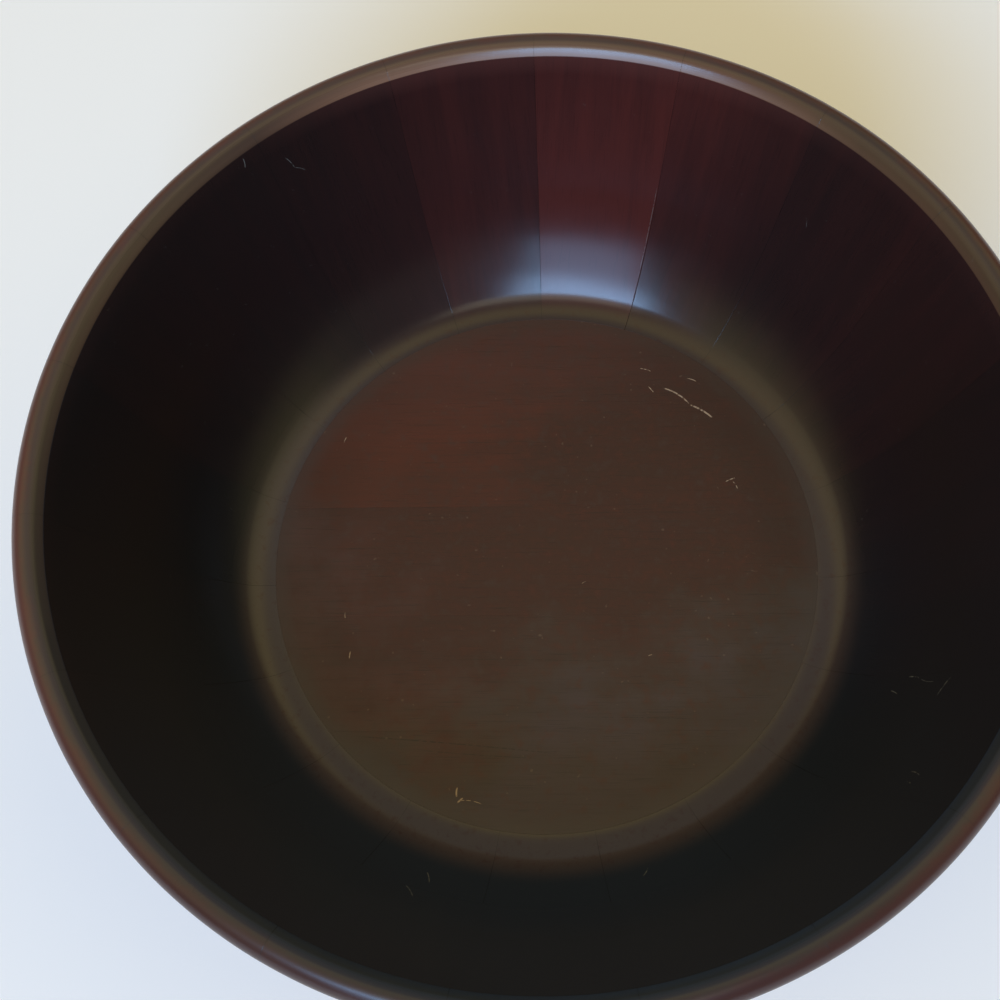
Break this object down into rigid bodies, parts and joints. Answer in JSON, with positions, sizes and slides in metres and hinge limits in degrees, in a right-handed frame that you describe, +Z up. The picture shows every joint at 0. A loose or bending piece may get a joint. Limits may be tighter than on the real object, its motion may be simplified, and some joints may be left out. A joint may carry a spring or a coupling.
{
  "type": "pedestal bowl",
  "caption": "Stave-built round wooden bowl with a flared wall, rounded lip and flat floor, carried on a turned collar, waisted stem and domed base, for fruit or serving.",
  "frame": {"origin": "middle of the felt's underside, where the bowl stands", "axes": "+Z up along the bowl's axis; +Y towards the far side in the picture, +X to its right"},
  "size_m": [0.305, 0.305, 0.172],
  "materials": {
    "stave_wood": "satin lacquer over red-brown stain",
    "floor_wood": "worn satin lacquer over brown stain",
    "pedestal_wood": "satin lacquer over red-brown stain",
    "screw_brass": "plain",
    "felt": "felt"
  },
  "bodies": {
    "root": {"stave_01": "stave_wood", "stave_02": "stave_wood", "stave_03": "stave_wood", "stave_04": "stave_wood", "stave_05": "stave_wood", "stave_06": "stave_wood", "stave_07": "stave_wood", "stave_08": "stave_wood", "stave_09": "stave_wood", "stave_10": "stave_wood", "stave_11": "stave_wood", "stave_12": "stave_wood", "stave_13": "stave_wood", "stave_14": "stave_wood", "stave_15": "stave_wood", "stave_16": "stave_wood", "stave_17": "stave_wood", "stave_18": "stave_wood", "stave_19": "stave_wood", "floor_board_1": "floor_wood", "floor_board_2": "floor_wood", "floor_board_3": "floor_wood", "floor_board_4": "floor_wood", "floor_board_5": "floor_wood", "collar": "pedestal_wood", "collar_screws": "screw_brass", "collar_plugs": "pedestal_wood", "stem": "pedestal_wood", "base": "pedestal_wood", "base_screw": "screw_brass", "felt": "felt"}
  },
  "joints": []
}
